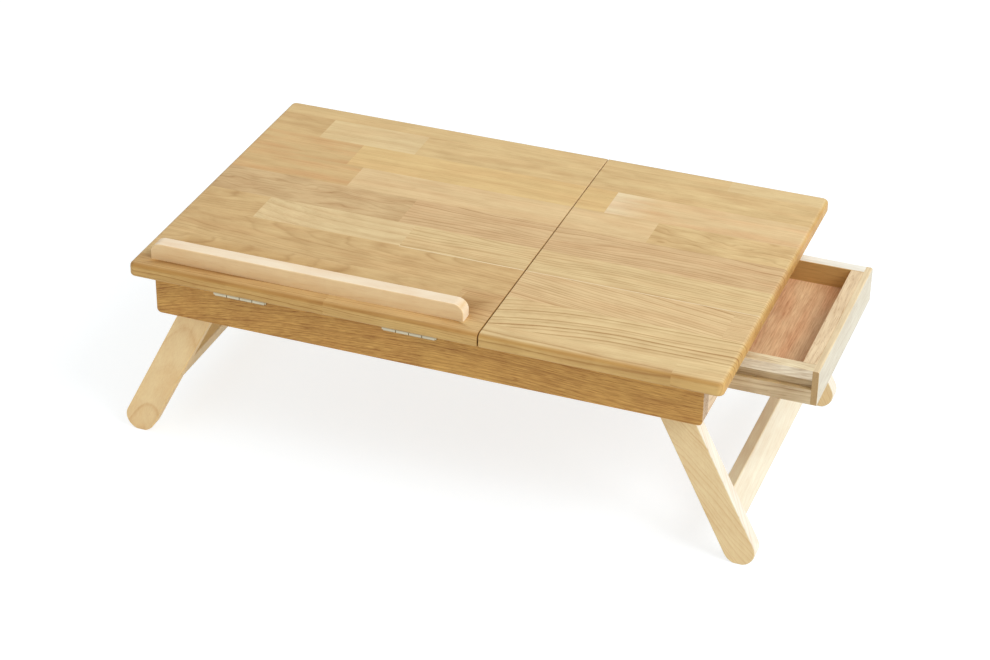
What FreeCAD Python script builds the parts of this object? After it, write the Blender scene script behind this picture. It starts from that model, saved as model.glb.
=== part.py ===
import FreeCAD, Part
import math
import os

from FreeCAD import Vector

# A low wooden laptop stand: a long table top in two panels on a shallow frame with folding legs.
# The left panel tilts up on two front hinges and is held by a strut; a drawer slides out of the right end.
# Millimetres and degrees. X runs along the top, Y from the front edge to the back, Z up.
# The origin is on the floor, under the middle of the table top.

# ---------------------------------------------------------------- driving dimensions

# Table top
TOP_LENGTH = 650.0
TOP_DEPTH = 420.0
TOP_THICKNESS = 16.0
TILTING_LENGTH = 392.2
SEAM_GAP = 1.2
TOP_CORNER_R = 7.0
TOP_UPPER_ROUND = 5.0
TOP_LOWER_ROUND = 3.5
SEAM_EASE = 0.8

# Frame under the top
END_OVERHANG = 23.0
FRONT_OVERHANG = 15.5
FRAME_HEIGHT = 47.2
FRAME_BOARD = 18.5
FRAME_CORNER_R = 5.0
FRAME_EASE = 0.7

# Folding legs
LEG_WIDTH = 34.5
LEG_THICKNESS = 18.0
LEG_SPLAY = 27.0
LEG_EASE = 1.3
LEG_PIVOT_RISE = 24.0
LEG_STOP_GAP = 0.3
LEG_TIP_CLEARANCE = 6.98
FOOT_FLAT = 10.0
STRETCHER_WIDTH = 34.0
STRETCHER_THICKNESS = 17.0
STRETCHER_RISE = 39.3
STRETCHER_OFFSET = 0.0
STRETCHER_EASE = 1.5

# Leg pivots
PIVOT_SCREW_R = 3.0
PIVOT_SCREW_GRIP = 11.0
PIVOT_HEAD_R = 6.5
PIVOT_HEAD_HEIGHT = 3.5
PIVOT_HEX_ACROSS = 5.0
PIVOT_HEX_DEPTH = 2.0
PIVOT_HEAD_ROUND = 1.2
HEX_SIDES = 6
WASHER_R = 9.0
WASHER_THICKNESS = 3.4
LEG_SIDE_PLAY = 0.2

# Ledge bar that keeps a laptop from sliding off
LEDGE_LEFT_INSET = 18.4
LEDGE_RIGHT_INSET = 21.3
LEDGE_FRONT_INSET = 17.4
LEDGE_THICKNESS = 16.4
LEDGE_HEIGHT = 18.8
LEDGE_CORNER_R = 11.5
LEDGE_EASE = 1.2

# Hinges of the tilting panel
HINGE_LEFT_INSET = 123.8
HINGE_RIGHT_INSET = 77.8
HINGE_LENGTH = 57.0
HINGE_BARREL_R = 3.0
HINGE_PIN_R = 1.3
HINGE_PIN_HEAD_R = 2.1
HINGE_PIN_HEAD = 1.6
HINGE_KNUCKLES = 4
HINGE_KNUCKLE_GAP = 0.9
HINGE_CLEARANCE = 0.3
HINGE_DROP = 3.3
LEAF_THICKNESS = 1.2
LEAF_DEPTH = 14.0
LEAF_SCREWS = 3
LEAF_SCREW_PITCH = 20.0
TILT_MAX = 30.0

# Small countersunk screws of the hinges, prop brackets and drawer runners
SMALL_SCREW_HEAD_R = 2.7
SMALL_SCREW_HEAD_HEIGHT = 1.6
SMALL_SCREW_R = 1.4
SMALL_SCREW_LENGTH = 11.0
SCREW_TIP = 2.0
SCREW_TIP_R = 0.5
SCREW_SLOT_WIDTH = 0.8
SCREW_SLOT_DEPTH = 0.5

# Prop strut, its brackets, and the notched rack board that it stands on
RACK_WIDTH = 50.0
RACK_THICKNESS = 16.0
NOTCH_DEPTH = 4.0
NOTCH_RAMP = 2.0
NOTCH_GAP = 0.3
NOTCH_TILTS = (12.0, 18.0, 24.0, 30.0)
PROP_WIDTH = 36.0
PROP_THICKNESS = 9.0
PROP_LENGTH = 125.0
PROP_PIVOT_BACK = 150.0
PROP_PIVOT_DROP = 7.0
PROP_FOOT_GAP = 0.3
PROP_PIN_R = 2.5
PROP_PIN_HEAD_R = 4.0
PROP_PIN_HEAD = 1.5
BRACKET_THICKNESS = 2.0
BRACKET_EAR_R = 6.0
BRACKET_FLANGE = 14.0
BRACKET_LENGTH = 26.0
BRACKET_SCREW_PITCH = 16.0
BRACKET_SIDE_PLAY = 0.3

# Drawer
DRAWER_WIDTH = 230.0
DRAWER_HEIGHT = 39.6
DRAWER_PULLED_OUT = 96.5
DRAWER_FACE = 6.8
DRAWER_FACE_ROUND = 2.2
DRAWER_INNER_FRONT = 14.0
DRAWER_SIDE = 14.0
DRAWER_BACK = 12.0
DRAWER_EASE = 0.5
DRAWER_FLOOR = 4.0
DRAWER_FLOOR_RISE = 11.5
DRAWER_FLOOR_GROOVE = 5.0
GROOVE_FIT = 0.2
DRAWER_GAP = 1.5
DRAWER_LEG_CLEARANCE = 2.0
SLIDE_GROOVE_RISE = 17.0
SLIDE_GROOVE_HEIGHT = 11.5
SLIDE_GROOVE_DEPTH = 6.0
RUNNER_CLEARANCE = 0.3
GUIDE_THICKNESS = 14.0
GUIDE_LIFT = 3.0
RUNNER_SCREWS = 3
RUNNER_SCREW_INSET = 22.0
STOP_WIDTH = 30.0
STOP_HEIGHT = 6.5

# Hidden dowels
DOWEL_R = 4.0
DOWEL_IN_RAIL = 15.0
DOWEL_IN_APRON = 10.0
SMALL_DOWEL_R = 3.0
SMALL_DOWEL_GRIP = 10.0
DRAWER_DOWEL_R = 2.5
DRAWER_DOWEL_GRIP = 8.0
DOWEL_EDGE = 13.0
PANEL_DOWEL_INSET = 48.0
GUIDE_DOWEL_INSET = 26.0

# Radial clearance of a turning fit, and of a dowel or screw in its hole
FIT = 0.05
# Radial clearance round a screw tip and past the end of a blind hole
HOLE_END = 0.3
# Points closer than this are taken as the same place
SAME = 0.01
# How far a cutting solid stands past the face that it cuts
PAST = 1.0

# ---------------------------------------------------------------- derived places

SIDES = (-1, 1)

half_length = TOP_LENGTH / 2
half_depth = TOP_DEPTH / 2
seam_x = -half_length + TILTING_LENGTH + SEAM_GAP / 2

frame_x = half_length - END_OVERHANG
frame_y = half_depth - FRONT_OVERHANG
rail_inner_x = frame_x - FRAME_BOARD
apron_inner_y = frame_y - FRAME_BOARD

splay = math.radians(LEG_SPLAY)
leg_radius = LEG_WIDTH / 2

# The standing leg leans with its outer edge on the lower inner edge of the end rail.
leg_stop_run = (leg_radius + LEG_STOP_GAP + LEG_PIVOT_RISE * math.sin(splay)) / math.cos(splay)
pivot_x = rail_inner_x - leg_stop_run
# Folded flat, its tip stays clear of the rack board in the middle of the frame.
leg_length = pivot_x - leg_radius - LEG_TIP_CLEARANCE - RACK_WIDTH / 2
foot_z = math.sqrt(leg_radius ** 2 - (FOOT_FLAT / 2) ** 2)
pivot_z = foot_z + leg_length * math.cos(splay)

frame_z = pivot_z - LEG_PIVOT_RISE
under_z = frame_z + FRAME_HEIGHT
top_z = under_z + TOP_THICKNESS

leg_outer_y = apron_inner_y - WASHER_THICKNESS - LEG_SIDE_PLAY
leg_inner_y = leg_outer_y - LEG_THICKNESS
stretcher_near = leg_length - STRETCHER_RISE - STRETCHER_WIDTH / 2
stretcher_far = stretcher_near + STRETCHER_WIDTH
stretcher_out = STRETCHER_OFFSET + STRETCHER_THICKNESS / 2
stretcher_in = STRETCHER_OFFSET - STRETCHER_THICKNESS / 2

hinge_centres = (-half_length + HINGE_LEFT_INSET, seam_x - SEAM_GAP / 2 - HINGE_RIGHT_INSET)
hinge_y = -frame_y - HINGE_CLEARANCE - HINGE_BARREL_R
hinge_z = under_z - HINGE_DROP - HINGE_BARREL_R
leaf_back_y = -frame_y + LEAF_DEPTH
leaf_screw_y = (leaf_back_y - frame_y) / 2

rack_z = frame_z + RACK_THICKNESS
prop_y = hinge_y + PROP_PIVOT_BACK
prop_z = under_z - PROP_PIVOT_DROP
prop_foot_z = rack_z + PROP_THICKNESS / 2 + PROP_FOOT_GAP
bracket_x = PROP_WIDTH / 2 + BRACKET_SIDE_PLAY

# Folding, the leg stretcher swings up behind the closed drawer.
stretcher_swing = math.hypot(stretcher_near, max(abs(stretcher_out), abs(stretcher_in)))
stretcher_reach = pivot_x - math.sqrt(stretcher_swing ** 2 - LEG_PIVOT_RISE ** 2)
closed_back_x = stretcher_reach + DRAWER_LEG_CLEARANCE
drawer_length = frame_x - closed_back_x
drawer_front_x = frame_x + DRAWER_PULLED_OUT
drawer_back_x = drawer_front_x - drawer_length
face_x = drawer_front_x - DRAWER_FACE
inner_front_x = face_x - DRAWER_INNER_FRONT
drawer_y = DRAWER_WIDTH / 2
drawer_inner_y = drawer_y - DRAWER_SIDE
drawer_z = frame_z
drawer_top_z = drawer_z + DRAWER_HEIGHT
floor_z = drawer_z + DRAWER_FLOOR_RISE
groove_z = drawer_z + SLIDE_GROOVE_RISE
groove_y = drawer_y - SLIDE_GROOVE_DEPTH
guide_y = drawer_y + DRAWER_GAP
runner_end_x = frame_x - DRAWER_FACE - RUNNER_CLEARANCE
runner_z = groove_z + SLIDE_GROOVE_HEIGHT / 2


def prop_pivot(tilt):
    """Where the strut's pivot is, as (y, z), with the panel tilted by so many degrees."""
    turn = math.radians(tilt)
    drop = prop_z - hinge_z
    y = hinge_y + PROP_PIVOT_BACK * math.cos(turn) - drop * math.sin(turn)
    z = hinge_z + PROP_PIVOT_BACK * math.sin(turn) + drop * math.cos(turn)
    return y, z


def prop_lean(tilt):
    """The strut's angle below the horizontal when its foot stands on the rack, in radians."""
    return math.asin((prop_pivot(tilt)[1] - prop_foot_z) / PROP_LENGTH)


def prop_foot_y(tilt):
    """Where the middle of the strut's foot stands on the rack at that tilt."""
    return prop_pivot(tilt)[0] + PROP_LENGTH * math.cos(prop_lean(tilt))


# ---------------------------------------------------------------- plain solids


def box(x0, x1, y0, y1, z0, z1):
    return Part.makeBox(x1 - x0, y1 - y0, z1 - z0, Vector(x0, y0, z0))


def rod(start, end, radius):
    """A round bar between two points."""
    return Part.makeCylinder(radius, (end - start).Length, start, end - start)


def cone(start, end, start_radius, end_radius):
    return Part.makeCone(start_radius, end_radius, (end - start).Length, start, end - start)


def joined(solids):
    """One solid made of several that touch or overlap."""
    return solids[0].fuse(solids[1:]).removeSplitter().Solids[0]


def group(solids):
    """Separate solids kept together, such as the screws of one kind."""
    return Part.makeCompound(solids)


def cut_by(shape, cutters):
    return shape.cut(cutters).Solids[0]


def rounded(shape, radius, chosen):
    """Rounds the edges whose ends and middle all pass the test chosen(point)."""
    picked = []
    for edge in shape.Edges:
        first, last = edge.FirstParameter, edge.LastParameter
        points = [edge.valueAt(first), edge.valueAt((first + last) / 2), edge.valueAt(last)]
        if all(chosen(point) for point in points):
            picked.append(edge)
    return shape.makeFillet(radius, picked)


def at(value, place):
    return abs(value - place) < SAME


def extruded(corners, way):
    """A solid swept along way from the flat outline through those corners."""
    return Part.Face(Part.makePolygon(corners + corners[:1])).extrude(way)


def prism(outline, y0, y1):
    """A solid with that outline, a list of (x, z) corners, between two places along Y."""
    return extruded([Vector(x, y0, z) for x, z in outline], Vector(0, y1 - y0, 0))


# ---------------------------------------------------------------- fasteners


def small_screw(head, inward, length=SMALL_SCREW_LENGTH):
    """A countersunk screw whose flat head is centred at head and which points along inward."""
    neck = head + inward * SMALL_SCREW_HEAD_HEIGHT
    taper = head + inward * (length - SCREW_TIP)
    tip = head + inward * length
    across = Vector(0, 0, 1) if abs(inward.z) < SAME else Vector(0, 1, 0)
    side = inward.cross(across)
    slot_half = SCREW_SLOT_WIDTH / 2
    corner = head - inward * PAST - side * slot_half - across * SMALL_SCREW_HEAD_R
    width = side * SCREW_SLOT_WIDTH
    length_across = across * 2 * SMALL_SCREW_HEAD_R
    slot = extruded(
        [corner, corner + width, corner + width + length_across, corner + length_across],
        inward * (PAST + SCREW_SLOT_DEPTH),
    )
    screw = joined(
        [
            cone(head, neck, SMALL_SCREW_HEAD_R, SMALL_SCREW_R),
            rod(neck, taper, SMALL_SCREW_R),
            cone(taper, tip, SMALL_SCREW_R, SCREW_TIP_R),
        ]
    )
    return cut_by(screw, [slot])


def small_screw_hole(head, inward, length=SMALL_SCREW_LENGTH):
    """The countersunk hole that small_screw fits."""
    neck = head + inward * SMALL_SCREW_HEAD_HEIGHT
    end = head + inward * (length + HOLE_END)
    mouth = rod(head - inward * PAST, head, SMALL_SCREW_HEAD_R + FIT)
    sink = cone(head, neck, SMALL_SCREW_HEAD_R + FIT, SMALL_SCREW_R + FIT)
    return joined([mouth, sink, rod(neck, end, SMALL_SCREW_R + FIT)])


def dowel(middle, direction, back, ahead, radius):
    """A wooden dowel through middle that reaches so far back and so far ahead along direction."""
    return rod(middle - direction * back, middle + direction * ahead, radius)


def dowel_hole(middle, direction, back, ahead, radius):
    return dowel(middle, direction, back + HOLE_END, ahead + HOLE_END, radius + FIT)


def hex_prism(centre, outward, across_flats, depth):
    """A hexagonal recess cutter that goes from centre against outward, for a screw driven along Y."""
    corner_r = across_flats / math.sqrt(3)
    turns = [math.tau * k / HEX_SIDES for k in range(HEX_SIDES)]
    corners = [centre + Vector(math.cos(turn), 0, math.sin(turn)) * corner_r for turn in turns]
    return extruded(corners, outward * -depth)


# ---------------------------------------------------------------- table top


def top_panel(seam_edge, outer_edge):
    """One panel of the top, with rounded edges all round but at the seam."""
    slab = box(
        min(seam_edge, outer_edge), max(seam_edge, outer_edge), -half_depth, half_depth, under_z, top_z
    )
    slab = rounded(
        slab, TOP_CORNER_R, lambda p: at(p.x, outer_edge) and at(abs(p.y), half_depth)
    )
    upper = [e for e in slab.Edges if on_level(e, top_z) and not at(e.CenterOfMass.x, seam_edge)]
    slab = slab.makeFillet(TOP_UPPER_ROUND, upper)
    lower = [e for e in slab.Edges if on_level(e, under_z) and not at(e.CenterOfMass.x, seam_edge)]
    slab = slab.makeFillet(TOP_LOWER_ROUND, lower)
    return rounded(slab, SEAM_EASE, lambda p: at(p.x, seam_edge))


def on_level(edge, z):
    return all(at(vertex.Z, z) for vertex in edge.Vertexes) and at(edge.CenterOfMass.z, z)


def tilting_top_panel():
    panel = top_panel(seam_x - SEAM_GAP / 2, -half_length)
    holes = [small_screw_hole(*place) for place in panel_leaf_screw_places() + bracket_screw_places()]
    holes += [dowel_hole(*place) for place in ledge_dowel_places()]
    return cut_by(panel, holes)


def fixed_top_panel():
    panel = top_panel(seam_x + SEAM_GAP / 2, half_length)
    return cut_by(panel, [dowel_hole(*place) for place in fixed_panel_dowel_places()])


def fixed_panel_dowel_places():
    """Upright dowels that hold the fixed panel on the aprons and on the drawer guides."""
    places = []
    for side in SIDES:
        for x in (seam_x + PANEL_DOWEL_INSET, pivot_x + DOWEL_EDGE):
            places.append(Vector(x, side * (frame_y - FRAME_BOARD / 2), under_z))
        for x in (closed_back_x + GUIDE_DOWEL_INSET, rail_inner_x - GUIDE_DOWEL_INSET):
            places.append(Vector(x, side * (guide_y + GUIDE_THICKNESS / 2), under_z))
    up = Vector(0, 0, 1)
    return [(place, up, SMALL_DOWEL_GRIP, SMALL_DOWEL_GRIP, SMALL_DOWEL_R) for place in places]


# ---------------------------------------------------------------- ledge bar

ledge_x0 = -half_length + LEDGE_LEFT_INSET
ledge_x1 = seam_x - SEAM_GAP / 2 - LEDGE_RIGHT_INSET
ledge_y0 = -half_depth + LEDGE_FRONT_INSET
ledge_y1 = ledge_y0 + LEDGE_THICKNESS


def ledge_bar():
    ledge_top = top_z + LEDGE_HEIGHT
    bar = box(ledge_x0, ledge_x1, ledge_y0, ledge_y1, top_z, ledge_top)
    bar = rounded(
        bar,
        LEDGE_CORNER_R,
        lambda p: at(p.z, ledge_top) and (at(p.x, ledge_x0) or at(p.x, ledge_x1)),
    )
    on_side = [e for e in bar.Edges if any(edge_on_y(e, y) for y in (ledge_y0, ledge_y1))]
    bar = bar.makeFillet(LEDGE_EASE, [e for e in on_side if e.CenterOfMass.z > top_z + SAME])
    return cut_by(bar, [dowel_hole(*place) for place in ledge_dowel_places()])


def edge_on_y(edge, y):
    return all(at(vertex.Y, y) for vertex in edge.Vertexes) and at(edge.CenterOfMass.y, y)


def ledge_dowel_places():
    middle_x = (ledge_x0 + ledge_x1) / 2
    reach = (ledge_x1 - ledge_x0) / 2 - 2 * LEDGE_CORNER_R
    y = (ledge_y0 + ledge_y1) / 2
    return [
        (Vector(x, y, top_z), Vector(0, 0, 1), SMALL_DOWEL_GRIP, SMALL_DOWEL_GRIP, SMALL_DOWEL_R)
        for x in (middle_x - reach, middle_x, middle_x + reach)
    ]


# ---------------------------------------------------------------- frame


def apron(side):
    """The long board of the frame at the front (-1) or the back (1)."""
    y0, y1 = sorted((side * apron_inner_y, side * frame_y))
    board = box(-frame_x, frame_x, y0, y1, frame_z, under_z)
    board = rounded(
        board, FRAME_CORNER_R, lambda p: at(p.z, frame_z) and at(abs(p.x), frame_x)
    )
    outer = [e for e in board.Edges if edge_on_y(e, side * frame_y)]
    board = board.makeFillet(FRAME_EASE, outer)
    holes = [dowel_hole(*place) for place in corner_dowel_places() if place[0].y * side > 0]
    holes += [dowel_hole(*place) for place in fixed_panel_dowel_places() if place[0].y * side > 0]
    for end in SIDES:
        middle = Vector(end * pivot_x, side * apron_inner_y, pivot_z)
        holes.append(dowel_hole(middle, Vector(0, side, 0), PAST, PIVOT_SCREW_GRIP, PIVOT_SCREW_R))
    return cut_by(board, holes)


def front_apron():
    pockets = [
        box(
            x - HINGE_LENGTH / 2 - HINGE_CLEARANCE,
            x + HINGE_LENGTH / 2 + HINGE_CLEARANCE,
            -frame_y - PAST,
            leaf_back_y + HINGE_CLEARANCE,
            hinge_z - HINGE_BARREL_R,
            under_z + PAST,
        )
        for x in hinge_centres
    ]
    holes = [small_screw_hole(*place) for place in frame_leaf_screw_places()]
    return cut_by(apron(-1), pockets + holes)


def corner_dowel_places():
    """Dowels along Y that join the aprons to the end rails and to the rack board."""
    spots = []
    for end in SIDES:
        for z in (frame_z + DOWEL_EDGE, under_z - DOWEL_EDGE):
            spots.append((end * (frame_x - FRAME_BOARD / 2), z))
        spots.append((end * RACK_WIDTH / 4, frame_z + RACK_THICKNESS / 2))
    places = []
    for side in SIDES:
        for x, z in spots:
            middle = Vector(x, side * apron_inner_y, z)
            places.append((middle, Vector(0, side, 0), DOWEL_IN_RAIL, DOWEL_IN_APRON, DOWEL_R))
    return places


def end_rail(end):
    """The short board between the aprons at the left (-1) or the right (1)."""
    x0, x1 = sorted((end * rail_inner_x, end * frame_x))
    board = box(x0, x1, -apron_inner_y, apron_inner_y, frame_z, under_z)
    board = rounded(board, FRAME_CORNER_R, lambda p: at(p.x, end * frame_x) and at(p.z, frame_z))
    return cut_by(board, [dowel_hole(*place) for place in corner_dowel_places() if place[0].x * end > 0])


def right_end_rail():
    mouth = box(
        rail_inner_x - PAST,
        frame_x + PAST,
        -guide_y,
        guide_y,
        frame_z - PAST,
        drawer_top_z + DRAWER_GAP,
    )
    return cut_by(end_rail(1), [mouth])


def rack_board():
    board = box(
        -RACK_WIDTH / 2, RACK_WIDTH / 2, -apron_inner_y, apron_inner_y, frame_z, rack_z
    )
    cutters = [dowel_hole(*place) for place in corner_dowel_places()]
    for tilt in NOTCH_TILTS:
        wall_y = prop_foot_y(tilt) + PROP_THICKNESS / 2 + NOTCH_GAP
        floor_y = wall_y - PROP_THICKNESS
        outline = [
            (wall_y, rack_z + PAST),
            (wall_y, rack_z - NOTCH_DEPTH),
            (floor_y, rack_z - NOTCH_DEPTH),
            (floor_y - NOTCH_RAMP, rack_z),
            (floor_y - NOTCH_RAMP, rack_z + PAST),
        ]
        corners = [Vector(-RACK_WIDTH, y, z) for y, z in outline]
        cutters.append(extruded(corners, Vector(2 * RACK_WIDTH, 0, 0)))
    return cut_by(board, cutters)


# ---------------------------------------------------------------- hinges


def knuckle_spans(centre, first):
    """The stretches along X of every other knuckle, from the first or the second one on."""
    pitch = (HINGE_LENGTH + HINGE_KNUCKLE_GAP) / HINGE_KNUCKLES
    start = centre - HINGE_LENGTH / 2
    return [
        (start + k * pitch, start + (k + 1) * pitch - HINGE_KNUCKLE_GAP)
        for k in range(first, HINGE_KNUCKLES, 2)
    ]


def hinge_leaf(centre, first, leaf_z, bore_r, screw_places):
    """A flat leaf whose lower face is at leaf_z, with its own knuckles wrapped round the pin."""
    web_y = hinge_y + HINGE_BARREL_R - LEAF_THICKNESS
    plate_y = hinge_y + HINGE_BARREL_R + HINGE_CLEARANCE
    low, high = min(leaf_z, hinge_z), max(leaf_z + LEAF_THICKNESS, hinge_z)
    x0 = centre - HINGE_LENGTH / 2
    x1 = centre + HINGE_LENGTH / 2
    pieces = [box(x0, x1, plate_y, leaf_back_y, leaf_z, leaf_z + LEAF_THICKNESS)]
    for start, end in knuckle_spans(centre, first):
        pieces.append(rod(Vector(start, hinge_y, hinge_z), Vector(end, hinge_y, hinge_z), HINGE_BARREL_R))
        pieces.append(box(start, end, web_y, web_y + LEAF_THICKNESS, low, high))
        pieces.append(box(start, end, web_y, plate_y, leaf_z, leaf_z + LEAF_THICKNESS))
    bore = rod(Vector(x0 - PAST, hinge_y, hinge_z), Vector(x1 + PAST, hinge_y, hinge_z), bore_r)
    holes = [small_screw_hole(*place) for place in screw_places if abs(place[0].x - centre) < HINGE_LENGTH]
    return cut_by(joined(pieces), [bore] + holes)


def panel_leaf(centre):
    places = panel_leaf_screw_places()
    return hinge_leaf(centre, 0, under_z - LEAF_THICKNESS, HINGE_PIN_R + FIT, places)


def frame_leaf(centre):
    places = frame_leaf_screw_places()
    return hinge_leaf(centre, 1, hinge_z - HINGE_BARREL_R, HINGE_PIN_R, places)


def hinge_pin(centre):
    x0 = centre - HINGE_LENGTH / 2
    x1 = centre + HINGE_LENGTH / 2
    pieces = [rod(Vector(x0, hinge_y, hinge_z), Vector(x1, hinge_y, hinge_z), HINGE_PIN_R)]
    for end, away in ((x0, -1), (x1, 1)):
        face = Vector(end, hinge_y, hinge_z)
        pieces.append(rod(face, face + Vector(away * HINGE_PIN_HEAD, 0, 0), HINGE_PIN_HEAD_R))
    return joined(pieces)


def leaf_screw_spots():
    first = -LEAF_SCREW_PITCH * (LEAF_SCREWS - 1) / 2
    return [centre + first + k * LEAF_SCREW_PITCH for centre in hinge_centres for k in range(LEAF_SCREWS)]


def panel_leaf_screw_places():
    z = under_z - LEAF_THICKNESS
    return [(Vector(x, leaf_screw_y, z), Vector(0, 0, 1)) for x in leaf_screw_spots()]


def frame_leaf_screw_places():
    z = hinge_z - HINGE_BARREL_R + LEAF_THICKNESS
    return [(Vector(x, leaf_screw_y, z), Vector(0, 0, -1)) for x in leaf_screw_spots()]


# ---------------------------------------------------------------- prop strut


def bracket_screw_places():
    x = bracket_x + BRACKET_THICKNESS + BRACKET_FLANGE / 2
    z = under_z - BRACKET_THICKNESS
    return [
        (Vector(side * x, prop_y + step * BRACKET_SCREW_PITCH / 2, z), Vector(0, 0, 1))
        for side in SIDES
        for step in SIDES
    ]


def prop_bracket(side):
    """A bent steel ear that hangs the strut's pin under the tilting panel."""
    x0, x1 = sorted((side * bracket_x, side * (bracket_x + BRACKET_THICKNESS)))
    f0, f1 = sorted((side * bracket_x, side * (bracket_x + BRACKET_THICKNESS + BRACKET_FLANGE)))
    half = BRACKET_LENGTH / 2
    flange = box(f0, f1, prop_y - half, prop_y + half, under_z - BRACKET_THICKNESS, under_z)
    ear = box(x0, x1, prop_y - BRACKET_EAR_R, prop_y + BRACKET_EAR_R, prop_z, under_z)
    nose = rod(Vector(x0, prop_y, prop_z), Vector(x1, prop_y, prop_z), BRACKET_EAR_R)
    bore = rod(
        Vector(x0 - PAST, prop_y, prop_z), Vector(x1 + PAST, prop_y, prop_z), PROP_PIN_R + FIT
    )
    holes = [small_screw_hole(*place) for place in bracket_screw_places() if place[0].x * side > 0]
    return cut_by(joined([flange, ear, nose]), [bore] + holes)


def prop_pin():
    end = bracket_x + BRACKET_THICKNESS
    pieces = [rod(Vector(-end, prop_y, prop_z), Vector(end, prop_y, prop_z), PROP_PIN_R)]
    for side in SIDES:
        face = Vector(side * end, prop_y, prop_z)
        pieces.append(rod(face, face + Vector(side * PROP_PIN_HEAD, 0, 0), PROP_PIN_HEAD_R))
    return joined(pieces)


def prop_strut():
    """A narrow board with round ends that lies folded under the panel."""
    half = PROP_WIDTH / 2
    radius = PROP_THICKNESS / 2
    foot_y = prop_y + PROP_LENGTH
    pieces = [box(-half, half, prop_y, foot_y, prop_z - radius, prop_z + radius)]
    for y in (prop_y, foot_y):
        pieces.append(rod(Vector(-half, y, prop_z), Vector(half, y, prop_z), radius))
    bore = rod(
        Vector(-half - PAST, prop_y, prop_z), Vector(half + PAST, prop_y, prop_z), PROP_PIN_R + FIT
    )
    return cut_by(joined(pieces), [bore])


# ---------------------------------------------------------------- folding legs


def on_leg(end, along, across):
    """A point (x, z) on the standing leg, so far from the pivot and so far out from its middle line."""
    x = pivot_x + along * math.sin(splay) + across * math.cos(splay)
    z = pivot_z - along * math.cos(splay) + across * math.sin(splay)
    return end * x, z


def leg(end, side):
    """A leg at the left (-1) or right (1) end, front (-1) or back (1), with round ends and a flat foot."""
    y0, y1 = sorted((side * leg_inner_y, side * leg_outer_y))
    corners = [
        on_leg(end, 0, -leg_radius),
        on_leg(end, leg_length, -leg_radius),
        on_leg(end, leg_length, leg_radius),
        on_leg(end, 0, leg_radius),
    ]
    pieces = [prism(corners, y0, y1)]
    for along in (0, leg_length):
        x, z = on_leg(end, along, 0)
        pieces.append(rod(Vector(x, y0, z), Vector(x, y1, z), leg_radius))
    board = joined(pieces)
    ground = box(-TOP_LENGTH, TOP_LENGTH, -half_depth, half_depth, -LEG_WIDTH, 0)
    board = cut_by(board, [ground])
    faces = [e for e in board.Edges if edge_on_y(e, y0) or edge_on_y(e, y1)]
    board = board.makeFillet(LEG_EASE, faces)
    bore = rod(
        Vector(end * pivot_x, y0 - PAST, pivot_z),
        Vector(end * pivot_x, y1 + PAST, pivot_z),
        PIVOT_SCREW_R + FIT,
    )
    holes = [dowel_hole(*place) for place in stretcher_dowel_places(end) if place[0].y * side > 0]
    return cut_by(board, [bore] + holes)


def stretcher(end):
    """The bar that ties the two legs of one end together near the feet."""
    corners = [
        on_leg(end, stretcher_near, stretcher_in),
        on_leg(end, stretcher_far, stretcher_in),
        on_leg(end, stretcher_far, stretcher_out),
        on_leg(end, stretcher_near, stretcher_out),
    ]
    bar = prism(corners, -leg_inner_y, leg_inner_y)
    long_edges = [e for e in bar.Edges if e.Length > leg_inner_y]
    bar = bar.makeFillet(STRETCHER_EASE, long_edges)
    return cut_by(bar, [dowel_hole(*place) for place in stretcher_dowel_places(end)])


def stretcher_dowel_places(end):
    middle = (stretcher_near + stretcher_far) / 2
    places = []
    for side in SIDES:
        for step in SIDES:
            x, z = on_leg(end, middle + step * STRETCHER_WIDTH / 4, STRETCHER_OFFSET)
            spot = Vector(x, side * leg_inner_y, z)
            places.append((spot, Vector(0, side, 0), DOWEL_IN_RAIL, DOWEL_IN_APRON, DOWEL_R))
    return places


def leg_pivot_screw(end, side):
    """A shouldered screw that a leg turns on, driven from inside through leg and washer into the apron."""
    inner_y = leg_inner_y - LEG_SIDE_PLAY
    out = Vector(0, side, 0)
    seat = Vector(end * pivot_x, side * inner_y, pivot_z)
    face = seat - out * PIVOT_HEAD_HEIGHT
    tip = Vector(end * pivot_x, side * (apron_inner_y + PIVOT_SCREW_GRIP), pivot_z)
    head = rod(face, seat, PIVOT_HEAD_R)
    head = rounded(head, PIVOT_HEAD_ROUND, lambda p: at(p.y, face.y))
    recess = hex_prism(face, -out, PIVOT_HEX_ACROSS, PIVOT_HEX_DEPTH)
    return cut_by(joined([head, rod(seat, tip, PIVOT_SCREW_R)]), [recess])


def leg_washer(end, side):
    seat = Vector(end * pivot_x, side * apron_inner_y, pivot_z)
    inner = seat - Vector(0, side * WASHER_THICKNESS, 0)
    disc = rod(seat, inner, WASHER_R)
    return cut_by(disc, [rod(seat, inner, PIVOT_SCREW_R + FIT)])


# ---------------------------------------------------------------- drawer


def drawer_front_panel():
    """The thin board glued over the front of the drawer box."""
    board = box(face_x, drawer_front_x, -drawer_y, drawer_y, drawer_z, drawer_top_z)
    board = rounded(
        board, DRAWER_FACE_ROUND, lambda p: at(p.x, drawer_front_x) and at(p.z, drawer_top_z)
    )
    rest = [e for e in board.Edges if at(e.CenterOfMass.x, drawer_front_x)]
    return board.makeFillet(DRAWER_EASE, rest)


def floor_slot():
    """The groove round the inside of the drawer box that the floor sits in."""
    return box(
        drawer_back_x + DRAWER_BACK - DRAWER_FLOOR_GROOVE - GROOVE_FIT,
        inner_front_x + DRAWER_FLOOR_GROOVE + GROOVE_FIT,
        -drawer_inner_y - DRAWER_FLOOR_GROOVE - GROOVE_FIT,
        drawer_inner_y + DRAWER_FLOOR_GROOVE + GROOVE_FIT,
        floor_z,
        floor_z + DRAWER_FLOOR,
    )


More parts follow.
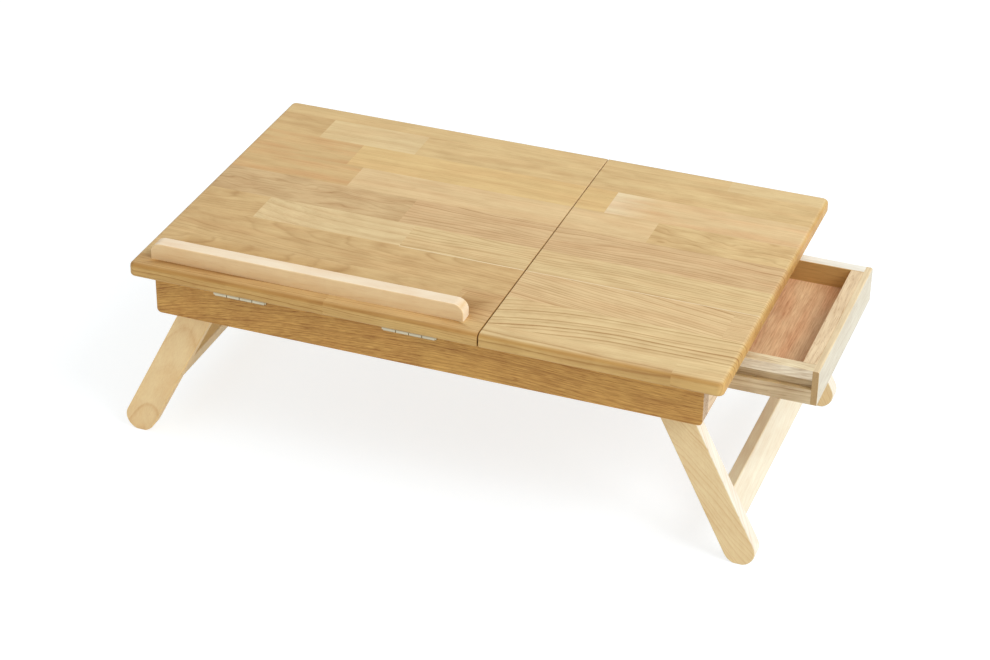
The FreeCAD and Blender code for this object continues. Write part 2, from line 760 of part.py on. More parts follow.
def drawer_board(x0, x1, y0, y1):
    """An upright board of the drawer box with its upper edges eased and the floor groove cut in it."""
    board = box(x0, x1, y0, y1, drawer_z, drawer_top_z)
    length = max(x1 - x0, y1 - y0)
    upper = [e for e in board.Edges if on_level(e, drawer_top_z) and at(e.Length, length)]
    board = board.makeFillet(DRAWER_EASE, upper)
    holes = [dowel_hole(*place) for place in drawer_dowel_places()]
    return cut_by(board, [floor_slot()] + holes)


def drawer_inner_front():
    return drawer_board(inner_front_x, face_x, -drawer_inner_y, drawer_inner_y)


def drawer_back():
    board = drawer_board(drawer_back_x, drawer_back_x + DRAWER_BACK, -drawer_inner_y, drawer_inner_y)
    return cut_by(board, [small_screw_hole(*stop_screw_place())])


def drawer_side(side):
    y0, y1 = sorted((side * drawer_inner_y, side * drawer_y))
    g0, g1 = sorted((side * groove_y, side * (drawer_y + PAST)))
    slide = box(
        drawer_back_x - PAST, face_x + PAST, g0, g1, groove_z, groove_z + SLIDE_GROOVE_HEIGHT
    )
    return cut_by(drawer_board(drawer_back_x, face_x, y0, y1), [slide])


def drawer_floor():
    reach = DRAWER_FLOOR_GROOVE
    return box(
        drawer_back_x + DRAWER_BACK - reach,
        inner_front_x + reach,
        -drawer_inner_y - reach,
        drawer_inner_y + reach,
        floor_z,
        floor_z + DRAWER_FLOOR,
    )


def drawer_dowel_places():
    """Blind dowels along Y between the drawer's sides and its front and back boards."""
    xs = (drawer_back_x + DRAWER_BACK / 2, inner_front_x + DRAWER_INNER_FRONT / 2)
    low_z = (drawer_z + floor_z) / 2
    high_z = (groove_z + SLIDE_GROOVE_HEIGHT + drawer_top_z) / 2
    return [
        (
            Vector(x, side * drawer_inner_y, z),
            Vector(0, side, 0),
            DRAWER_DOWEL_GRIP,
            DRAWER_DOWEL_GRIP,
            DRAWER_DOWEL_R,
        )
        for side in SIDES
        for x in xs
        for z in (low_z, high_z)
    ]


def stop_screw_place():
    top = Vector(drawer_back_x + DRAWER_BACK / 2, 0, drawer_top_z + STOP_HEIGHT)
    return top, Vector(0, 0, -1), SMALL_SCREW_LENGTH + STOP_HEIGHT


def drawer_stop():
    """The block on the drawer's back board that meets the end rail when the drawer is fully out."""
    half = STOP_WIDTH / 2
    block = box(
        drawer_back_x, drawer_back_x + DRAWER_BACK, -half, half, drawer_top_z, drawer_top_z + STOP_HEIGHT
    )
    return cut_by(block, [small_screw_hole(*stop_screw_place())])


def drawer_guide(side):
    """The board under the fixed panel that carries a runner beside the drawer."""
    y0, y1 = sorted((side * guide_y, side * (guide_y + GUIDE_THICKNESS)))
    board = box(closed_back_x, rail_inner_x, y0, y1, frame_z + GUIDE_LIFT, under_z)
    holes = [dowel_hole(*place) for place in fixed_panel_dowel_places()]
    holes += [small_screw_hole(*place) for place in runner_screw_places() if place[0].y * side > 0]
    return cut_by(board, holes)


def drawer_runner(side):
    """The strip that the groove in the drawer's side slides on; its end stops the closed drawer."""
    y0, y1 = sorted((side * (groove_y + RUNNER_CLEARANCE), side * guide_y))
    strip = box(
        closed_back_x,
        runner_end_x,
        y0,
        y1,
        groove_z + RUNNER_CLEARANCE,
        groove_z + SLIDE_GROOVE_HEIGHT - RUNNER_CLEARANCE,
    )
    return cut_by(strip, [small_screw_hole(*place) for place in runner_screw_places()])


def runner_screw_places():
    first = closed_back_x + RUNNER_SCREW_INSET
    last = rail_inner_x - RUNNER_SCREW_INSET
    step = (last - first) / (RUNNER_SCREWS - 1)
    return [
        (
            Vector(first + k * step, side * (groove_y + RUNNER_CLEARANCE), runner_z),
            Vector(0, side, 0),
            SMALL_SCREW_LENGTH + DRAWER_GAP,
        )
        for side in SIDES
        for k in range(RUNNER_SCREWS)
    ]


# ---------------------------------------------------------------- the whole stand


def build():
    parts = {
        "tilting_top_panel": tilting_top_panel(),
        "fixed_top_panel": fixed_top_panel(),
        "fixed_panel_dowels": group([dowel(*place) for place in fixed_panel_dowel_places()]),
        "ledge_bar": ledge_bar(),
        "ledge_dowels": group([dowel(*place) for place in ledge_dowel_places()]),
        "front_apron": front_apron(),
        "back_apron": apron(1),
        "left_end_rail": end_rail(-1),
        "right_end_rail": right_end_rail(),
        "rack_board": rack_board(),
        "frame_dowels": group([dowel(*place) for place in corner_dowel_places()]),
        "panel_leaf_screws": group([small_screw(*place) for place in panel_leaf_screw_places()]),
        "frame_leaf_screws": group([small_screw(*place) for place in frame_leaf_screw_places()]),
        "prop_strut": prop_strut(),
        "prop_pin": prop_pin(),
        "prop_bracket_screws": group([small_screw(*place) for place in bracket_screw_places()]),
        "leg_pivot_screws": group([leg_pivot_screw(end, side) for end in SIDES for side in SIDES]),
        "leg_washers": group([leg_washer(end, side) for end in SIDES for side in SIDES]),
        "drawer_front_panel": drawer_front_panel(),
        "drawer_inner_front": drawer_inner_front(),
        "drawer_back": drawer_back(),
        "drawer_floor": drawer_floor(),
        "drawer_dowels": group([dowel(*place) for place in drawer_dowel_places()]),
        "drawer_stop": drawer_stop(),
        "drawer_stop_screw": small_screw(*stop_screw_place()),
        "drawer_runner_screws": group([small_screw(*place) for place in runner_screw_places()]),
    }
    for name, centre in zip(("left", "right"), hinge_centres):
        parts[f"{name}_hinge_panel_leaf"] = panel_leaf(centre)
        parts[f"{name}_hinge_frame_leaf"] = frame_leaf(centre)
        parts[f"{name}_hinge_pin"] = hinge_pin(centre)
    for end, name in zip(SIDES, ("left", "right")):
        parts[f"{name}_front_leg"] = leg(end, -1)
        parts[f"{name}_rear_leg"] = leg(end, 1)
        parts[f"{name}_stretcher"] = stretcher(end)
        parts[f"{name}_stretcher_dowels"] = group(
            [dowel(*place) for place in stretcher_dowel_places(end)]
        )
        parts[f"{name}_prop_bracket"] = prop_bracket(end)
    for side, name in zip(SIDES, ("front", "rear")):
        parts[f"drawer_{name}_side"] = drawer_side(side)
        parts[f"drawer_{name}_guide"] = drawer_guide(side)
        parts[f"drawer_{name}_runner"] = drawer_runner(side)
    return parts


os.makedirs("parts", exist_ok=True)
for name, shape in build().items():
    shape.exportStep(f"parts/{name}.step")

print(f"height {top_z:.2f}, leg length {leg_length:.2f}, leg pivot x {pivot_x:.3f} z {pivot_z:.3f}")
print(f"panel hinge y {hinge_y:.3f} z {hinge_z:.3f}, strut pivot y {prop_y:.3f} z {prop_z:.3f}")
print(f"strut swings {1 + math.degrees(prop_lean(TILT_MAX)) / TILT_MAX:.4f} times the tilt")
stop_travel = rail_inner_x - drawer_back_x - DRAWER_BACK
print(f"drawer x {drawer_back_x:.2f} to {drawer_front_x:.2f}, stop travel {stop_travel:.2f}")
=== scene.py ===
import math
import random

import bmesh
import bpy
from mathutils import Matrix, Vector


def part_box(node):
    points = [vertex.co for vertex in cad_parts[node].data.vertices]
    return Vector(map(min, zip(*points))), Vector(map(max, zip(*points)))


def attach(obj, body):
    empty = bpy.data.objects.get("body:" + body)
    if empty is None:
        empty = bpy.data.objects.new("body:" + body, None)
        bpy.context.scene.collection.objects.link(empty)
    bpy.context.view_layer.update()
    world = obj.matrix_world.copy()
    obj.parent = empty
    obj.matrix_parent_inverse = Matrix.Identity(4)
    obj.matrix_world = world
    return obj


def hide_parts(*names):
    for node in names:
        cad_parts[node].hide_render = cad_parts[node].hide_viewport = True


# A low wooden laptop stand: an oiled oak top glued from staves, an oak frame, pale lacquered birch legs,
# a drawer in unfinished pale oak with a reddish plywood floor, and small nickel hinges.
# Lengths are in metres, but for those named _MM or said to be in millimetres.

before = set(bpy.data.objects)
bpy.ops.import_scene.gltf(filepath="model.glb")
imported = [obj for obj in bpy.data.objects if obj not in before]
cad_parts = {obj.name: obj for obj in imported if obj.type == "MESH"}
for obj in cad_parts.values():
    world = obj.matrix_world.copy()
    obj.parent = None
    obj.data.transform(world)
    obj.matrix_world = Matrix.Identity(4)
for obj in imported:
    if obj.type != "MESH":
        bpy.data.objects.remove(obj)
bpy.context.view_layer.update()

MM = 0.001

# ---------------------------------------------------------------- colours and nodes


def linear(hex_colour):
    """An sRGB hex colour as linear red, green, blue and alpha."""
    channels = [int(hex_colour[i : i + 2], 16) / 255 for i in (1, 3, 5)]
    return [c / 12.92 if c <= 0.04045 else ((c + 0.055) / 1.055) ** 2.4 for c in channels] + [1.0]


def add(tree, kind, links=None, **settings):
    """Adds a node, applies its settings, and sets or links its inputs."""
    node = tree.nodes.new(kind)
    for name, value in settings.items():
        setattr(node, name, value)
    for socket, value in (links or {}).items():
        if isinstance(value, bpy.types.NodeSocket):
            tree.links.new(value, node.inputs[socket])
        else:
            node.inputs[socket].default_value = value
    return node


# Sockets of the Mix node: the share, then both colours and their mixture, or both numbers
FACTOR, FIRST, SECOND, MIXED = 0, 6, 7, 2
FIRST_NUMBER, SECOND_NUMBER = 2, 3


def new_material(name):
    """An empty material, and its node tree."""
    material = bpy.data.materials.new(name)
    material.use_nodes = True
    material.node_tree.nodes.clear()
    return material, material.node_tree


def streaks(tree, place, streak_mm, **settings):
    """Soft streaks or spots from 0 to 1, of about that size in millimetres along x, y and z."""
    shrink = [1 / size for size in streak_mm]
    scaled = add(tree, "ShaderNodeVectorMath", {0: place, 1: shrink}, operation="MULTIPLY").outputs[0]
    return add(tree, "ShaderNodeTexNoise", {"Vector": scaled, "Scale": 1.0, **settings}).outputs["Fac"]


def object_millimetres(tree, turn=(0.0, 0.0, 0.0)):
    """A place on the piece in millimetres, turned by degrees about each axis to bring its grain along x."""
    place = add(tree, "ShaderNodeTexCoord").outputs["Object"]
    scale = (1 / MM, 1 / MM, 1 / MM)
    turned = {"Vector": place, "Scale": scale, "Rotation": [math.radians(angle) for angle in turn]}
    return add(tree, "ShaderNodeMapping", turned).outputs[0]


# ---------------------------------------------------------------- wood

# A growth ring wanders over about a hand's length and curls over a finger's
WANDER_MM = (170.0, 34.0, 34.0)
CURL_MM = (42.0, 17.0, 17.0)
# Good and poor years: how soon they follow each other, and by how many rings they crowd or spread them
WEATHER_PACE = 0.45
WEATHER_SHIFT = 1.3
# How dark the wood is at each share of a year's growth: pale early wood, then the line of late wood
SEASONS = ((0.1, 0.0), (0.5, 0.07), (0.76, 0.35), (0.91, 1.0))
YEARS_END = 0.35
# How strongly the poorest year's ring shows beside the best
POOR_YEAR = 0.3
# The levels of their streaks between which fibre and bands, clouds, pores and a flush come in
FIBRE_SPAN = (0.3, 0.7)
CLOUD_SPAN = (0.35, 0.68)
PORE_SPAN = (0.57, 0.72)
FLUSH_SPAN = (0.42, 0.68)
# How squarely a surface turns to an axis where the tint of that side starts, and where it is full
FACING_SPAN = (0.7, 0.97)
# How much a rounded edge slants, as the product of its normal's parts, where its painted shade is full
FULL_SLANT = 0.4
# How far the open grain lies below the sanded face, and how deep the pores lie beside the late wood
GRAIN_DEPTH = 0.4 * MM
PORE_SHARE = 0.6
# How much smoother and rougher than the whole the fibres are
FIBRE_SHEEN = (-0.06, 0.08)


def grain_place(tree, place, pith, lean):
    """Where a point lies from the pith, once the sweep and lean of the tree are taken out.

    lean holds the sweep for each square millimetre before the pith, then the lean to y and to z.
    """
    from_pith = add(tree, "ShaderNodeVectorMath", {0: place, 1: pith}, operation="SUBTRACT").outputs[0]
    along = add(tree, "ShaderNodeSeparateXYZ", {0: from_pith}).outputs["X"]
    leaning = add(tree, "ShaderNodeSeparateXYZ", {0: lean}).outputs
    before = add(tree, "ShaderNodeMath", {0: along, 1: 0.0}, operation="MINIMUM").outputs[0]
    squared = add(tree, "ShaderNodeMath", {0: before, 1: before}, operation="MULTIPLY").outputs[0]
    sweep = add(tree, "ShaderNodeMath", {0: squared, 1: leaning["X"]}, operation="MULTIPLY").outputs[0]
    to_y = add(tree, "ShaderNodeMath", {0: along, 1: leaning["Y"], 2: sweep}, operation="MULTIPLY_ADD")
    to_z = add(tree, "ShaderNodeMath", {0: along, 1: leaning["Z"], 2: sweep}, operation="MULTIPLY_ADD")
    drift = add(tree, "ShaderNodeCombineXYZ", {"Y": to_y.outputs[0], "Z": to_z.outputs[0]}).outputs[0]
    return add(tree, "ShaderNodeVectorMath", {0: from_pith, 1: drift}, operation="SUBTRACT").outputs[0]


def growth_rings(tree, grain, wobble, curl, ring_mm):
    """How dark the growth rings are where a face cuts them: 0 in early wood, 1 in the late wood's line."""
    off_axis = {0: grain, 1: (0.0, 1.0, 1.0)}
    across = add(tree, "ShaderNodeVectorMath", off_axis, operation="MULTIPLY").outputs[0]
    radius = add(tree, "ShaderNodeVectorMath", {0: across}, operation="LENGTH").outputs["Value"]
    for streak_mm, reach in ((WANDER_MM, wobble), (CURL_MM, curl)):
        sway = streaks(tree, grain, streak_mm, Detail=1.0)
        centred = add(tree, "ShaderNodeMath", {0: sway, 1: 0.5}, operation="SUBTRACT").outputs[0]
        swayed = {0: centred, 1: reach, 2: radius}
        radius = add(tree, "ShaderNodeMath", swayed, operation="MULTIPLY_ADD").outputs[0]
    years = add(tree, "ShaderNodeMath", {0: radius, 1: ring_mm}, operation="DIVIDE").outputs[0]
    climate = {"W": years, "Scale": WEATHER_PACE, "Detail": 1.0}
    weather = add(tree, "ShaderNodeTexNoise", climate, noise_dimensions="1D").outputs["Fac"]
    shifted = {0: weather, 1: WEATHER_SHIFT, 2: years}
    uneven = add(tree, "ShaderNodeMath", shifted, operation="MULTIPLY_ADD").outputs[0]
    phase = add(tree, "ShaderNodeMath", {0: uneven}, operation="FRACT").outputs[0]
    year = add(tree, "ShaderNodeMath", {0: uneven}, operation="FLOOR").outputs[0]
    season = add(tree, "ShaderNodeValToRGB", {"Fac": phase})
    stops = season.color_ramp.elements
    for stop in stops:
        stop.color = (YEARS_END, YEARS_END, YEARS_END, 1)
    for position, level in SEASONS:
        stops.new(position).color = (level, level, level, 1)
    vigour = add(tree, "ShaderNodeTexWhiteNoise", {"W": year}, noise_dimensions="1D").outputs["Value"]
    depth = add(tree, "ShaderNodeMapRange", {"Value": vigour, "To Min": POOR_YEAR}).outputs[0]
    late = {0: season.outputs["Color"], 1: depth}
    return add(tree, "ShaderNodeMath", late, operation="MULTIPLY").outputs[0]


def wood_colour(tree, grain, shade, cut, look):
    """The colour of the wood: its tone, flushed in streaks, then darkened by its shade to its stain."""
    blush = streaks(tree, grain, look["blush_mm"], Detail=2.0)
    low, high = FLUSH_SPAN
    flush = {"Value": blush, "From Min": low, "From Max": high, "To Max": cut["blush"]}
    flushed = add(tree, "ShaderNodeMapRange", flush).outputs[0]
    tone = {FACTOR: flushed, FIRST: cut["tone"], SECOND: linear(look["blush_colour"])}
    tinted = add(tree, "ShaderNodeMix", tone, data_type="RGBA", blend_type="MULTIPLY").outputs[MIXED]
    stain = {FACTOR: shade, FIRST: tinted, SECOND: linear(look["stain"])}
    return add(tree, "ShaderNodeMix", stain, data_type="RGBA", blend_type="MULTIPLY").outputs[MIXED]


def wood_shader(tree, place, cut, look):
    """A finished wooden face. cut says how the board was sawn from its tree, look what the wood is like."""
    grain = grain_place(tree, place, cut["pith"], cut["lean"])
    rings = growth_rings(tree, grain, cut["wobble"], cut["curl"], cut["ring_mm"])
    figure = {0: rings, 1: cut["figure"]}
    ring_shade = add(tree, "ShaderNodeMath", figure, operation="MULTIPLY").outputs[0]
    fibre = streaks(tree, grain, look["fibre_mm"], Detail=2.0, Roughness=0.6)
    band = streaks(tree, grain, look["band_mm"], Detail=2.0)
    cloud = streaks(tree, grain, look["cloud_mm"], Detail=2.0)
    vessel = streaks(tree, grain, look["pore_mm"], Detail=1.0)
    low, high = PORE_SPAN
    open_grain = {"Value": vessel, "From Min": low, "From Max": high}
    pores = add(tree, "ShaderNodeMapRange", open_grain).outputs[0]
    shade = ring_shade
    for value, (low, high), strength in (
        (fibre, FIBRE_SPAN, look["fibre"]),
        (band, FIBRE_SPAN, look["band"]),
        (cloud, CLOUD_SPAN, cut["cloud"]),
        (pores, (0.0, 1.0), look["pores"]),
    ):
        limits = {"Value": value, "From Min": low, "From Max": high, "To Max": strength}
        share = add(tree, "ShaderNodeMapRange", limits).outputs[0]
        shade = add(tree, "ShaderNodeMath", {0: shade, 1: share}, operation="ADD").outputs[0]
    colour = face_tints(tree, wood_colour(tree, grain, shade, cut, look), look)
    smooth, rough = FIBRE_SHEEN
    sheen = {"Value": fibre, "To Min": look["roughness"] + smooth, "To Max": look["roughness"] + rough}
    roughness = add(tree, "ShaderNodeMapRange", sheen).outputs[0]
    low_lying = {0: pores, 1: PORE_SHARE, 2: ring_shade}
    relief = add(tree, "ShaderNodeMath", low_lying, operation="MULTIPLY_ADD")
    sunk = {"Strength": look["relief"], "Distance": GRAIN_DEPTH, "Height": relief.outputs[0]}
    bump = add(tree, "ShaderNodeBump", sunk, invert=True).outputs[0]
    surface = {
        "Base Color": colour,
        "Roughness": roughness,
        "Normal": bump,
        "IOR": 1.5,
        "Specular IOR Level": look["gloss"],
    }
    return add(tree, "ShaderNodeBsdfPrincipled", surface).outputs[0]


def painted_arris_shade(tree, normal, tint, arris_shade):
    """Painted shade that darkens the rounded upper edges at the front and back, half way round them."""
    turned = add(tree, "ShaderNodeSeparateXYZ", {0: normal}).outputs
    front = add(tree, "ShaderNodeMath", {0: turned["Y"]}, operation="ABSOLUTE").outputs[0]
    slant = add(tree, "ShaderNodeMath", {0: front, 1: turned["Z"]}, operation="MULTIPLY").outputs[0]
    share = add(tree, "ShaderNodeMapRange", {"Value": slant, "From Max": FULL_SLANT}).outputs[0]
    edge_shade = {FACTOR: share, FIRST: tint, SECOND: linear(arris_shade)}
    return add(tree, "ShaderNodeMix", edge_shade, data_type="RGBA", blend_type="MULTIPLY").outputs[MIXED]


def face_tints(tree, colour, look):
    """The colour tinted by which way the surface faces: painted light and shade on a board's faces, its
    sides and its end grain, which also takes up most oil.
    """
    normal = add(tree, "ShaderNodeTexCoord").outputs["Normal"]
    low, high = FACING_SPAN
    tint = linear(look["sides"])
    for axis, shown in ((look["face_axis"], look["face"]), (look["grain_axis"], look["ends"])):
        facing = {0: normal, 1: axis}
        dot = add(tree, "ShaderNodeVectorMath", facing, operation="DOT_PRODUCT").outputs["Value"]
        size = add(tree, "ShaderNodeMath", {0: dot}, operation="ABSOLUTE").outputs[0]
        turned = {"Value": size, "From Min": low, "From Max": high}
        share = add(tree, "ShaderNodeMapRange", turned).outputs[0]
        tints = {FACTOR: share, FIRST: tint, SECOND: linear(shown)}
        tint = add(tree, "ShaderNodeMix", tints, data_type="RGBA").outputs[MIXED]
    if "arris_shade" in look:
        tint = painted_arris_shade(tree, normal, tint, look["arris_shade"])
    tinted = {FACTOR: 1.0, FIRST: colour, SECOND: tint}
    return add(tree, "ShaderNodeMix", tinted, data_type="RGBA", blend_type="MULTIPLY").outputs[MIXED]


# Oak, sanded and oiled: a warm satin face, with straight fibre between open pores. The pores are a third of
# a millimetre wide and the fibres far finer, too fine to show, so both are drawn about a millimetre wide
OAK = {
    "fibre_mm": (55.0, 1.2, 1.5),
    "fibre": 0.15,
    "band_mm": (190.0, 9.0, 9.0),
    "band": 0.14,
    "pore_mm": (11.0, 0.8, 2.0),
    "pores": 0.12,
    "cloud_mm": (38.0, 15.0, 20.0),
    "blush_mm": (90.0, 15.0, 30.0),
    "blush_colour": "#FFEEE8",
    "stain": "#AE8A5C",
    "face_axis": (0.0, 0.0, 1.0),
    "grain_axis": (1.0, 0.0, 0.0),
    # Painted shade: the sides are tinted darker than the top face, as they look in shade, and the end grain
    # darker still, from shade and from oil
    "face": "#FFFFFF",
    "sides": "#ECE0C3",
    "ends": "#EBD8B2",
    "roughness": 0.5,
    "relief": 0.1,
    "gloss": 0.3,
}

# Birch, sanded and lacquered: pale and smooth with a little more shine, hardly a pore and a faint flame
BIRCH = {
    **OAK,
    "fibre_mm": (24.0, 1.2, 1.2),
    "fibre": 0.14,
    "band": 0.1,
    "pores": 0.03,
    "blush_mm": (60.0, 16.0, 16.0),
    "blush_colour": "#FFF4E6",
    "stain": "#CFA06A",
    "face_axis": (0.0, 1.0, 0.0),
    "face": "#FFF1D2",
    "sides": "#FFFFFF",
    "ends": "#FFFFFF",
    "roughness": 0.42,
    "relief": 0.03,
    "gloss": 0.35,
}

# How a plain board was sawn: how far its rings wander and curl, how wide they are and how strongly they
# show, and how cloudy and how flushed the wood is between them
PLAIN_SAWN = {"wobble": 20.0, "curl": 2.0, "ring_mm": 3.4, "figure": 0.4, "cloud": 0.15, "blush": 0.3}
SLIGHT_LEAN = (0.0, 0.01, 0.02)

# The turn and the grain of a board that lies from front to back
ALONG_Y = (0.0, 0.0, -90.0)
GRAIN_ALONG_Y = (0.0, 1.0, 0.0)


def board_wood(name, wood, tone, pith, lean=SLIGHT_LEAN, turn=(0.0, 0.0, 0.0), changes=None, **cut):
    """The wood of one board, with the pith of its tree at a place in millimetres.

    cut may give a paler tone, with the axis and the two places between which that comes in: on the drawer's
    front side its sapwood, on its rear side the wood beyond the inner face, whose tan is painted shade.
    """
    material, tree = new_material(name)
    place = object_millimetres(tree, turn)
    sawn = {**PLAIN_SAWN, **cut, "tone": linear(tone), "pith": pith, "lean": lean}
    if "sapwood" in cut:
        axis, low, high = cut["sapwood_beyond"]
        reach = add(tree, "ShaderNodeSeparateXYZ", {0: place}).outputs[axis]
        rise = {"Value": reach, "From Min": low, "From Max": high}
        share = add(tree, "ShaderNodeMapRange", rise).outputs[0]
        tones = {FACTOR: share, FIRST: linear(tone), SECOND: linear(cut["sapwood"])}
        sawn["tone"] = add(tree, "ShaderNodeMix", tones, data_type="RGBA").outputs[MIXED]
    shader = wood_shader(tree, place, sawn, {**wood, **(changes or {})})
    add(tree, "ShaderNodeOutputMaterial", {"Surface": shader})
    return material


def stave_wood():
    """Oak staves glued edge to edge, sanded and oiled: a patchwork, each with its own tone and figure."""
    material, tree = new_material("oak_staves_oiled")
    read = {
        name: add(tree, "ShaderNodeAttribute", attribute_name=name).outputs
        for name in ("tone", "pith", "lean", "rings", "mottle")
    }
    rings = add(tree, "ShaderNodeSeparateXYZ", {0: read["rings"]["Vector"]}).outputs
    mottle = add(tree, "ShaderNodeSeparateXYZ", {0: read["mottle"]["Vector"]}).outputs
    cut = {
        "tone": read["tone"]["Color"],
        "pith": read["pith"]["Vector"],
        "lean": read["lean"]["Vector"],
        "wobble": rings["X"],
        "figure": rings["Y"],
        "ring_mm": rings["Z"],
        "curl": mottle["X"],
        "cloud": mottle["Y"],
        "blush": mottle["Z"],
    }
    shader = wood_shader(tree, object_millimetres(tree), cut, {**OAK, "arris_shade": ARRIS_SHADE})
    add(tree, "ShaderNodeOutputMaterial", {"Surface": shader})
    return material


# ---------------------------------------------------------------- the staves of the top

STRAW = "#ECD5A4"
PALE = "#EBD3A0"
CREAM = "#F5E3BC"
GOLDEN = "#EACC91"
HONEY = "#E8CD97"
ROSY = "#E5C798"
PEACH = "#ECD1A0"
TAN = "#E1C38D"
GREYED = "#E0C494"
BROWN = "#DDBC88"
UMBER = "#D7B57C"
SAND = "#DCBC84"
# Painted shade on the rounded edges at the front and back, darkest half way round them
ARRIS_SHADE = "#E7DAC7"
# How far below its face a stave takes on the tone of its edge
EDGE_DEPTH = 4 * MM
# The sawn end grain in the seam between the panels is painted with the shade of the gap: brown at the
# front, all but bare wood at the back
SEAM_SHADE = "#C9A771"
SEAM_SHADE_AT_BACK = "#FFF6E2"
SEAM_REACH = 2 * MM
# How squarely a face there looks along the grain when it is sawn end grain
ENDWISE = 0.5
# The least angle between faces at which a panel's edge stays crisp
SHARP_DEGREES = 32
# Corners closer than the first are one corner, and those closer than the second to a cut lie on it
SAME_CORNER = 0.002 * MM
ON_CUT = 0.0001 * MM

# How a stave was sawn, in millimetres: how far the pith is from its middle line to the back and under
# its face, how its rings sweep, lean and rise along it, how far they wander and curl, how wide they
# are and how strongly they show, and how cloudy and how flushed the wood is between them. A few start
# with another tone at their left end, which fades over a length, or have another tone at their edge
QUIET = {"side": 120, "deep": 60, "wobble": 12, "curl": 2, "ring_mm": 3.6, "figure": 0.14, "cloud": 0.1}
FLUSHED = {**QUIET, "blush": 0.8}
PALE_START = {**QUIET, "starts": CREAM, "fades": 48, "blush": 0.6}
PALE_END = {**QUIET, "starts": PALE, "fades": 110}
CLOUDY = {**QUIET, "cloud": 0.18, "curl": 8, "rise": 0.04}
FLAME = {
    **QUIET,
    "side": 22,
    "deep": 30,
    "rise": 0.09,
    "curl": 3,
    "ring_mm": 4,
    "figure": 0.3,
    "cloud": 0.2,
}
CURLY = {
    "side": 50,
    "deep": 50,
    "rise": 0.06,
    "wobble": 30,
    "curl": 16,
    "ring_mm": 5,
    "figure": 0.28,
    "cloud": 0.26,
}
LINED = {"side": 100, "deep": 40, "wobble": 9, "curl": 1, "ring_mm": 4.2, "figure": 0.4, "cloud": 0.14}
SLANTED = {**LINED, "side": 90, "lean": -0.17, "figure": 0.65}
SWEPT = {**LINED, "side": -90, "sweep": -0.0007, "start": 20, "ring_mm": 6.4, "figure": 0.75}
ARCHED = {**LINED, "side": 80, "sweep": 0.0011, "start": 60, "ring_mm": 13, "figure": 0.22, "wobble": 4}
CLOSE = {**LINED, "side": 90, "deep": 85, "ring_mm": 1.9, "figure": 0.7}
HONEY_EDGE = {**CLOSE, "edge": HONEY}
PALE_EDGE = {**CLOSE, "edge": PALE}
BURR = {**CLOSE, "lean": -0.1, "wobble": 22, "curl": 5, "ring_mm": 3.4}
BROAD = {**LINED, "side": 30, "deep": 60, "ring_mm": 10, "figure": 0.5, "wobble": 14}
WAVY = {**LINED, "wobble": 24, "curl": 3, "ring_mm": 4.6, "figure": 0.6}

# What chance decides for each stave: the share by which its pith is nearer or farther, where along it the
# pith lies, and which way its rings lean and rise
SEED = 7
PITH_SHARE = (0.85, 1.15)
START_MM = (-40, 40)
LEAN = 0.01
RISE = 0.012
# How flushed a stave is when nothing else is said
BLUSH = 0.25

# Rows from the back edge to the front: where each ends, then the right end of each of its staves,
# their tone and how they were sawn
ROWS_MM = (
    (181.5, ((215, HONEY, QUIET), (325, PALE, QUIET))),
    (134.0, ((-258, TAN, CLOUDY), (-140, STRAW, PALE_END), (325, HONEY, CLOUDY))),
    (83.0, ((-202, TAN, FLUSHED), (104, GOLDEN, QUIET), (325, PEACH, PALE_START))),
    (35.0, ((-181, TAN, FLUSHED), (167, PEACH, QUIET), (325, HONEY, CURLY))),
    (-20.5, ((-96, GREYED, CURLY), (325, ROSY, WAVY))),
    (-69.0, ((-247, TAN, FLAME), (-75, STRAW, ARCHED), (325, PALE, WAVY))),
    (-70.3, ((-75, TAN, QUIET), (325, CREAM, QUIET))),
    (-126.7, ((68, TAN, FLAME), (298, PEACH, SLANTED), (325, PEACH, CLOSE))),
    (-185.0, ((21, TAN, FLAME), (68, BROWN, BURR), (325, PALE, SWEPT))),
    (-210.0, ((-102, UMBER, HONEY_EDGE), (67.6, SAND, PALE_EDGE), (271, PALE, BROAD), (325, PALE, LINED))),
)


def stave_list():
    """Each stave's box in the plan, with its tone and its figure.

    The outer staves reach a millimetre past the edges of the top, so that their boxes hold its sides too.
    """
    chance = random.Random(SEED)
    low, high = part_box("tilting_top_panel")
    staves = []
    back = high.y + MM
    for front_mm, row in ROWS_MM:
        front = front_mm * MM if front_mm * MM > low.y + MM else low.y - MM
        left = low.x - MM
        for right_mm, tone, sawn in row:
            right = right_mm * MM + (MM if right_mm == row[-1][0] else 0)
            middle = Vector(((left + right) / 2, (front + back) / 2, high.z)) / MM
            shift = chance.uniform(*PITH_SHARE)
            start = sawn.get("start", chance.uniform(*START_MM))
            pith = middle + Vector((start, sawn["side"] * shift, -sawn["deep"] * shift))
            rise = sawn.get("rise", RISE) * chance.choice((-1, 1))
            staves.append(
                {
                    "box": (left, right, front, back),
                    "tone": linear(tone),
                    "starts": linear(sawn.get("starts", tone)),
                    "fades": sawn.get("fades", 1) * MM,
                    "edge": linear(sawn.get("edge", tone)),
                    "pith": pith,
                    "lean": (sawn.get("sweep", 0), sawn.get("lean", LEAN * chance.uniform(-1, 1)), rise),
                    "rings": (sawn["wobble"], sawn["figure"], sawn["ring_mm"]),
                    "mottle": (sawn["curl"], sawn["cloud"], sawn.get("blush", BLUSH)),
                }
            )
            left = right
        back = front
    return staves


def merged_copy(node):
    """The mesh of a CAD node with its corners joined, ready to be cut."""
    mesh = bmesh.new()
    mesh.from_mesh(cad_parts[node].data)
    bmesh.ops.remove_doubles(mesh, verts=mesh.verts, dist=SAME_CORNER)
    return mesh


def slice_at(mesh, faces, axis, place):
    """Cuts those faces along the plane where the axis has that value."""
    plane = Vector((0, 0, 0))
    plane[axis] = 1
    edges = {edge for face in faces for edge in face.edges}
    corners = {corner for face in faces for corner in face.verts}
    geometry = [*faces, *edges, *corners]
    bmesh.ops.bisect_plane(mesh, geom=geometry, plane_co=plane * place, plane_no=plane, dist=ON_CUT)


